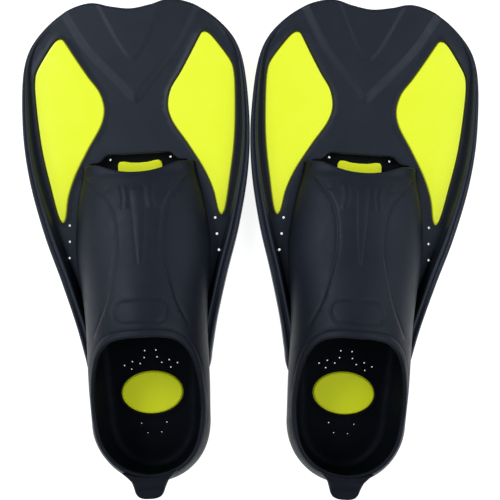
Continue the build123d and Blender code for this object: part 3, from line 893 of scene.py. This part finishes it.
def lean_in(side, verts, share=1.0, shift=0.0):
    """The pocket leans a little towards the other fin, as a foot does, and its heel leans more."""
    y, z = verts[:, 1], verts[:, 2]
    most = (POCKET_LEAN[side] * (1 - ramp(y, *POCKET_LEAN_ENDS_Y))
            + HEEL_LEAN[side] * (1 - ramp(y, *HEEL_LEAN_ENDS_Y)))
    amount = shift + share * ramp(z, *LEAN_Z) * ramp(y, *LEAN_Y) * most
    return verts + np.outer(amount, (1 if side == "left" else -1, 0, 0))


pocket_verts, pocket_faces, lined = pocket_mesh()
for side in SIDES:
    pocket = make_piece("foot_pocket", side, lean_in(side, pocket_verts), pocket_faces, POCKET_RUBBER,
                        sharp=60, lining=INNER_RUBBER, lined=lined)
    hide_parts(*[f"{side}_{node}" for node in ("vamp", "heel_cup", "cuff", "badge")])
    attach(pocket, f"{side}_foot")


# ------------------------------------------------------------------------------------------------------------
# Heel tab: a flat rubber tongue that grows out of the back of the cuff
# ------------------------------------------------------------------------------------------------------------
TAB_EDGE = [(0, -0.8), (5.4, -0.4), (9.2, 1.2), (11.5, 4.2), (12.7, 7.8), (13.8, 11.2), (15.2, 14.8),
            (18.4, 18.6), (22.6, 22.4)]
TAB_BACK = [(22.6, 22.4), (20, 22.6), (12, 19.4), (0, 18.2)]
TAB_ROWS = (0.25, 0.6, 1.1, 1.8, 2.6)
TAB_SHIFT = -0.9
TAB_LEAN = 0.45
TAB_TOP = 63.0
TAB_THICK = 4.6
TAB_ROUND = 2.2
TAB_RISE = 4.6
TAB_RISE_Y = (6.0, 18.5)


def tab_mesh():
    edge = half_of(TAB_EDGE, 0.9)
    boundary = np.vstack([edge, resample(TAB_BACK, 1.2)[1:]])
    lines = crease(edge, both_ways(TAB_ROWS), boundary, margin=0.12)
    plan, faces = fill_plan([boundary], lines, spacing=1.3)
    half_thick = TAB_THICK / 2 * quarter_round(distance(plan, edge), TAB_ROUND)
    middle = TAB_TOP - TAB_THICK / 2 + TAB_RISE * ramp(plan[:, 1], *TAB_RISE_Y)
    return mirrored_solid(np.column_stack([plan, middle + half_thick]),
                          np.column_stack([plan, middle - half_thick]), faces)


tab_verts, tab_faces = tab_mesh()
for side in SIDES:
    tab = make_piece("heel_pull_tab", side, lean_in(side, tab_verts, TAB_LEAN, TAB_SHIFT), tab_faces,
                     POCKET_RUBBER, sharp=60)
    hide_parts(f"{side}_heel_tab")
    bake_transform(tab)


# ------------------------------------------------------------------------------------------------------------
# Footbed and the lime plate under it, which shows in the oval, the pin holes and the toe slot
# ------------------------------------------------------------------------------------------------------------
FOOTBED_TOP = 12.0
FOOTBED_FOOT = 9.0
FOOTBED_FRONT = 266.0
PLATE_FOOT = 5.2
PLATE_TOP = 8.9
PLATE_FRONT = 262.0
OVAL_Y = 78.6
OVAL_REACH = (26.4, 18.2)
OVAL_TOP = 12.5
OVAL_DISH = 0.35
DISH_REACH = 16
# The footbed's oval hole is larger than the plate's raised oval, which leaves a thin dark line round it
HOLE_GROWTH = 0.45
OVAL_GROWTH = -0.3
# The footbed turns up along the wall, swells round the oval and is rounded down into it and the pin holes
COVE_RISE = 3.2
COVE_WIDTH = 6.5
SWELL_RISE = 0.35
SWELL_WIDTH = 2.6
HOLE_ROUND_DEPTH = 0.45
HOLE_ROUND = 0.7
PIN_ROUND_DEPTH = 0.3
PIN_ROUND = 0.6
PIN_HOLES = [(4.9, 115), (5.6, 109), (9.4, 104), (16, 106), (17, 99.5), (23, 103), (11, 52), (6, 43.5)]
PIN_RADIUS = 0.66
PIN_RING_RADIUS = PIN_RADIUS + 0.45
PIN_FOOT_RADIUS = 1.5
TONGUE = [(0, 278.4), (8, 278.9), (14, 280.0), (17.6, 279.6), (19, 277.2), (19, 262)]
TONGUE_TOP = 11.5
TONGUE_BACK_Y = 261.5
PLATE_EDGE_ROUND = 1.0
COVE_ROWS = (1.0, 2.2, 3.6, 5.2)
HOLE_ROWS = (0.3, 0.8, 1.4, 2.4)
PLATE_ROWS = (0.25, 0.6, 1.1, 1.9)


def half_oval(grow):
    """Half outline of the oval in the footbed, a little larger or smaller than drawn."""
    angles = np.linspace(math.pi / 2, -math.pi / 2, 61)
    line = np.column_stack([(OVAL_REACH[0] + grow) * np.cos(angles),
                            OVAL_Y + (OVAL_REACH[1] + grow) * np.sin(angles)])
    line[[0, -1], 0] = 0
    return resample(line, 1.0)


def inner_outline(height, inset, front):
    """Half outline of the space inside the pocket at a height, from the front back round the heel."""
    s = np.r_[np.arange(front, CAP_Y, -3.0), np.linspace(CAP_Y, BACK, 26)]
    q = WIDEST + pocket_sizes(np.maximum(s, CAP_Y))[2] - height
    points = pocket_surface(q, s)[:, :2]
    tangent = np.gradient(points, axis=0)
    tangent /= np.linalg.norm(tangent, axis=1)[:, None]
    points = points + np.column_stack([tangent[:, 1], -tangent[:, 0]]) * inset
    points[-1, 0] = 0
    return points


def footbed_mesh():
    wall = inner_outline(height=12.5, inset=2.2, front=FOOTBED_FRONT)
    oval = half_oval(HOLE_GROWTH)
    boundary = np.vstack([(0, FOOTBED_FRONT), wall, oval[::-1]])
    lines = []
    for amount in COVE_ROWS:
        lines += crease(wall, [amount, -amount], boundary, margin=0.6)
    lines += crease(oval, both_ways(HOLE_ROWS), boundary, margin=0.15)
    rings = [circle(x, y, PIN_RING_RADIUS) for x, y in PIN_HOLES]
    lines += [np.vstack([ring, ring[:1]]) for ring in rings]
    holes = [circle(x, y, PIN_RADIUS) for x, y in PIN_HOLES]
    plan, faces = fill_plan([boundary] + holes, lines, spacing=2.6)
    from_oval = distance(plan, oval)
    top = FOOTBED_TOP + COVE_RISE * fading(distance(plan, wall), COVE_WIDTH, 2.2)
    top += SWELL_RISE * np.sin(np.clip(from_oval / SWELL_WIDTH, 0, 1) * math.pi)
    top -= HOLE_ROUND_DEPTH * fading(from_oval, HOLE_ROUND, 2)
    for x, y in PIN_HOLES:
        top -= PIN_ROUND_DEPTH * fading(np.hypot(plan[:, 0] - x, plan[:, 1] - y) - PIN_RADIUS, PIN_ROUND)
    foot = np.full(len(plan), FOOTBED_FOOT)
    return mirrored_solid(np.column_stack([plan, top]), np.column_stack([plan, foot]), faces)


def plate_mesh():
    """The plate under the footbed, with the raised oval and the tongue in the toe slot."""
    tongue = np.vstack([smooth(TONGUE[:-1], 1.0), TONGUE[-1]])
    boundary = np.vstack([tongue, inner_outline(height=7.0, inset=4.0, front=PLATE_FRONT)])
    oval = half_oval(OVAL_GROWTH)
    tongue_width = TONGUE[-1][0]
    lines = crease(oval, [0.0] + both_ways(PLATE_ROWS), boundary, margin=0.1)
    lines += crease(tongue, both_ways(PLATE_ROWS), boundary, margin=0.15)
    for y in (TONGUE_BACK_Y + 0.4, TONGUE_BACK_Y - 0.5):
        lines.append(np.array([(0.0, y), (tongue_width, y)]))
    feet = [circle(x, y, PIN_FOOT_RADIUS) for x, y in PIN_HOLES]
    plan, faces = fill_plan([boundary] + feet, lines, spacing=3.0)
    from_oval = distance(plan, oval)
    on_oval = OVAL_TOP - PLATE_EDGE_ROUND + quarter_round(from_oval, PLATE_EDGE_ROUND)
    on_oval -= OVAL_DISH * ramp(from_oval, 0, DISH_REACH)
    on_tongue = TONGUE_TOP - PLATE_EDGE_ROUND + quarter_round(distance(plan, tongue), PLATE_EDGE_ROUND)
    in_tongue = (plan[:, 1] > TONGUE_BACK_Y) & (plan[:, 0] <= tongue_width + 0.01)
    top = np.where(inside(plan, closed_across(oval)), on_oval, PLATE_TOP)
    top = np.where(in_tongue, on_tongue, top)
    foot = np.full(len(plan), PLATE_FOOT)
    return mirrored_solid(np.column_stack([plan, top]), np.column_stack([plan, foot]), faces)


footbed_shape = footbed_mesh()
plate_shape = plate_mesh()
for side in SIDES:
    footbed = make_piece("foot_bed", side, *footbed_shape, FOOTBED_RUBBER, sharp=50)
    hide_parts(f"{side}_footbed")
    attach(footbed, f"{side}_foot")
    plate = make_piece("lime_sole_plate", side, *plate_shape, LIME_CORE, sharp=50)
    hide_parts(f"{side}_sole_plate")
    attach(plate, f"{side}_foot")


# ------------------------------------------------------------------------------------------------------------
# Outsole: the CAD node, with its treads, in sole rubber
# ------------------------------------------------------------------------------------------------------------
for side in SIDES:
    for slot in frame["nodes"][f"{side}_outsole"].material_slots:
        slot.material = SOLE_RUBBER


# ------------------------------------------------------------------------------------------------------------
# Floor, light and camera, in metres in the row frame
# ------------------------------------------------------------------------------------------------------------
FLOOR_SIZE = 40.0
FLOOR_GREY = 0.6
FLOOR_GLOW = 0.86
# Name, place, size and power of each lamp. All of them aim at the middle of the pair.
LAMPS = [("left_box", (-1.9, 0.1, 2.0), (2.8, 2.0), 30),
         ("right_box", (1.9, 0.1, 2.0), (2.8, 2.0), 33),
         ("key_box", (-1.25, 1.0, 1.75), (0.5, 0.5), 9)]
SKY_TINT = (0.93, 0.96, 1.0)
SKY_STRENGTH = 0.24
EYE = (-0.0003, -0.0068, 0.80)
SENSOR_WIDTH = 36
# The camera looks straight down and sees this width at this height over the floor
VIEW_WIDTH = 0.4295
VIEW_HEIGHT = 0.020


def add_floor():
    material, _, _, shader = new_material("floor")
    shader.inputs["Base Color"].default_value = (FLOOR_GREY, FLOOR_GREY, FLOOR_GREY, 1)
    shader.inputs["Roughness"].default_value = 0.9
    shader.inputs["Emission Color"].default_value = (1, 1, 1, 1)
    shader.inputs["Emission Strength"].default_value = FLOOR_GLOW
    half = FLOOR_SIZE / 2
    corners = [(-half, -half, 0), (half, -half, 0), (half, half, 0), (-half, half, 0)]
    mesh = bpy.data.meshes.new("floor")
    mesh.from_pydata(corners, [], [(0, 1, 2, 3)])
    mesh.materials.append(material)
    floor = bpy.data.objects.new("floor", mesh)
    bpy.context.scene.collection.objects.link(floor)
    return floor


def add_lamp(name, at, size, power):
    data = bpy.data.lights.new(name, "AREA")
    data.shape = "RECTANGLE"
    data.size, data.size_y = size
    data.energy = power
    lamp = bpy.data.objects.new(name, data)
    lamp.location = at
    lamp.rotation_euler = (-Vector(at)).to_track_quat("-Z", "Y").to_euler()
    bpy.context.scene.collection.objects.link(lamp)


floor = add_floor()
for lamp in LAMPS:
    add_lamp(*lamp)

world = bpy.data.worlds.new("studio")
bpy.context.scene.world = world
world.use_nodes = True
world.node_tree.nodes["Background"].inputs["Color"].default_value = (*SKY_TINT, 1)
world.node_tree.nodes["Background"].inputs["Strength"].default_value = SKY_STRENGTH

camera_data = bpy.data.cameras.new("camera")
camera_data.sensor_width = SENSOR_WIDTH
camera_data.lens = SENSOR_WIDTH * (EYE[2] - VIEW_HEIGHT) / VIEW_WIDTH
camera = bpy.data.objects.new("camera", camera_data)
camera.location = EYE
bpy.context.scene.collection.objects.link(camera)
bpy.context.scene.camera = camera
bpy.context.scene.view_settings.view_transform = "Standard"
